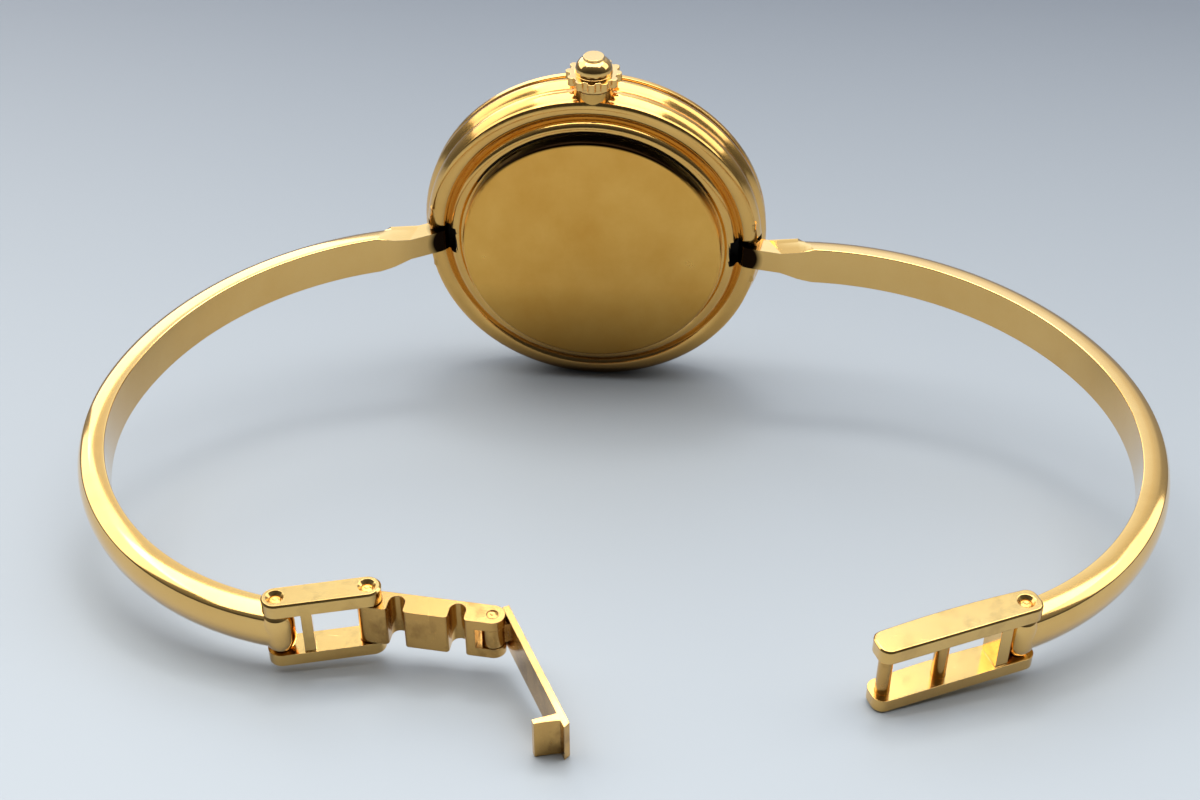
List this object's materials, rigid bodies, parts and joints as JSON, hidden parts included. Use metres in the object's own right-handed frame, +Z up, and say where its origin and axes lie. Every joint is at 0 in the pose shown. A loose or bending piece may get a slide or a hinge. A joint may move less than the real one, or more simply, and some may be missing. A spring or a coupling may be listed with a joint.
{
  "type": "bangle watch",
  "caption": "Round wristwatch on a rigid hinged bangle, shown open with its folding clasp undone, with a plain raised case back and a fluted crown.",
  "frame": {"origin": "on the table, under the middle of the box round the open watch", "axes": "+X across the wrist from the left arm to the right arm, +Y from the clasp to the case, +Z up from the table"},
  "size_m": [0.072, 0.054, 0.0277],
  "materials": {
    "gold_plate": "polished",
    "gold_satin": "satin",
    "pin_steel": "satin",
    "worn_plate": "worn",
    "mineral_glass": "polished",
    "gasket_rubber": "matte",
    "dial_white": "satin",
    "marker_gold": "polished",
    "ring_plastic": "matte",
    "movement_brass": "satin",
    "movement_steel": "satin",
    "battery_can": "satin",
    "board_green": "matte",
    "chip_black": "matte",
    "can_metal": "satin",
    "copper_winding": "satin"
  },
  "bodies": {
    "case": {"mid_case": "gold_plate", "bezel": "gold_plate", "case_back": "gold_satin", "case_back_gasket": "gasket_rubber", "crystal": "mineral_glass", "crystal_gasket": "gasket_rubber", "dial": "dial_white", "hour_markers": "marker_gold", "dial_feet": "movement_brass", "movement_ring": "ring_plastic", "main_plate": "movement_brass", "train_bridge": "movement_brass", "bridge_screws": "movement_steel", "battery": "battery_can", "battery_clamp": "movement_steel", "circuit_board": "board_green", "circuit_chip": "chip_black", "quartz_can": "can_metal", "stator": "movement_steel", "coil_core": "movement_steel", "coil_winding": "copper_winding", "crown_tube": "movement_steel", "left_hinge_pin": "pin_steel", "right_hinge_pin": "pin_steel"},
    "minute_train": {"centre_wheel": "movement_brass", "cannon_pinion": "movement_steel", "minute_hand": "marker_gold"},
    "third_wheel": {"third_wheel": "movement_brass"},
    "second_wheel": {"second_wheel": "movement_brass"},
    "rotor": {"rotor": "movement_steel"},
    "minute_wheel": {"minute_wheel": "movement_brass"},
    "setting_wheel": {"setting_wheel": "movement_steel"},
    "hour_train": {"hour_wheel": "movement_brass", "hour_hand": "marker_gold"},
    "crown_slide": {"crown_gasket": "gasket_rubber"},
    "crown": {"crown": "gold_plate", "stem": "movement_steel"},
    "setting_lever": {"setting_lever": "movement_steel"},
    "left_arm": {"left_arm": "gold_plate"},
    "link": {"link": "gold_plate", "left_end_pin": "pin_steel", "link_pin": "pin_steel"},
    "notched_bar": {"notched_bar": "worn_plate", "latch_pin": "pin_steel"},
    "latch": {"latch_plate": "gold_plate"},
    "right_arm": {"right_arm": "gold_plate"},
    "right_frame": {"right_frame": "gold_plate", "frame_bars": "worn_plate", "right_end_pin": "pin_steel"}
  },
  "joints": [
    {"name": "left_arm_hinge", "type": "hinge", "parent": "case", "child": "left_arm", "pos_m": [-0.01562, 0.02016, 0.01237], "axis": [0.0123, -0.2245, 0.9744], "range_deg": [-22.4, 11.44]},
    {"name": "link_hinge", "type": "hinge", "parent": "left_arm", "child": "link", "pos_m": [-0.01882, -0.01961, 0.00324], "axis": [-0.0123, 0.2245, -0.9744], "range_deg": [-35, 27.47]},
    {"name": "notched_bar_hinge", "type": "hinge", "parent": "link", "child": "notched_bar", "pos_m": [-0.0136, -0.01823, 0.0035], "axis": [0.0123, -0.2245, 0.9744], "range_deg": [-40, 20]},
    {"name": "latch_hinge", "type": "hinge", "parent": "notched_bar", "child": "latch", "pos_m": [-0.00608, -0.01885, 0.00326], "axis": [-0.0123, 0.2245, -0.9744], "range_deg": [-27.7, 122.3]},
    {"name": "right_arm_hinge", "type": "hinge", "parent": "case", "child": "right_arm", "pos_m": [0.00817, 0.02016, 0.01207], "axis": [-0.0123, 0.2245, -0.9744], "range_deg": [-2.1, 28.18]},
    {"name": "right_frame_hinge", "type": "hinge", "parent": "right_arm", "child": "right_frame", "pos_m": [0.02509, -0.01611, 0.0035], "axis": [0.0123, -0.2245, 0.9744], "range_deg": [-35.7, 1.74]},
    {"name": "crown_pull", "type": "slide", "parent": "case", "child": "crown_slide", "axis": [0.0123, -0.2245, 0.9744], "range_m": [0, 0.0007]},
    {"name": "crown_turn", "type": "hinge", "parent": "crown_slide", "child": "crown", "pos_m": [-0.00356, 0.01834, 0.02524], "axis": [0.0123, -0.2245, 0.9744], "continuous": true},
    {"name": "minute_hand_turn", "type": "hinge", "parent": "case", "child": "minute_train", "pos_m": [-0.00373, 0.01997, 0.01217], "axis": [0.0028, 0.9745, 0.2245], "continuous": true},
    {"name": "hour_hand_turn", "type": "hinge", "parent": "case", "child": "hour_train", "pos_m": [-0.00373, 0.01997, 0.01217], "axis": [0.0028, 0.9745, 0.2245], "continuous": true},
    {"name": "third_wheel_turn", "type": "hinge", "parent": "case", "child": "third_wheel", "pos_m": [-0.0024, 0.0205, 0.00986], "axis": [0.0028, 0.9745, 0.2245], "continuous": true},
    {"name": "second_wheel_turn", "type": "hinge", "parent": "case", "child": "second_wheel", "pos_m": [0.00012, 0.0205, 0.00983], "axis": [0.0028, 0.9745, 0.2245], "continuous": true},
    {"name": "rotor_turn", "type": "hinge", "parent": "case", "child": "rotor", "pos_m": [0.00073, 0.02001, 0.01193], "axis": [0.0028, 0.9745, 0.2245], "continuous": true},
    {"name": "minute_wheel_turn", "type": "hinge", "parent": "case", "child": "minute_wheel", "pos_m": [-0.0037, 0.01952, 0.01412], "axis": [0.0028, 0.9745, 0.2245], "continuous": true},
    {"name": "setting_wheel_turn", "type": "hinge", "parent": "case", "child": "setting_wheel", "pos_m": [-0.00242, 0.01903, 0.01622], "axis": [0.0028, 0.9745, 0.2245], "continuous": true},
    {"name": "setting_lever_turn", "type": "hinge", "parent": "case", "child": "setting_lever", "pos_m": [-0.00584, 0.01845, 0.01878], "axis": [-0.0028, -0.9745, -0.2245], "range_deg": [0, 18.2]}
  ],
  "couplings": [
    {"joint": "second_wheel_turn", "follows": "rotor_turn", "ratio": -0.12},
    {"joint": "third_wheel_turn", "follows": "rotor_turn", "ratio": 0.015},
    {"joint": "minute_hand_turn", "follows": "rotor_turn", "ratio": -0.002},
    {"joint": "minute_wheel_turn", "follows": "rotor_turn", "ratio": 0.00066667},
    {"joint": "setting_wheel_turn", "follows": "rotor_turn", "ratio": -0.001},
    {"joint": "hour_hand_turn", "follows": "rotor_turn", "ratio": -0.00016667},
    {"joint": "setting_lever_turn", "follows": "crown_pull", "rad_per_m": 450.79}
  ]
}
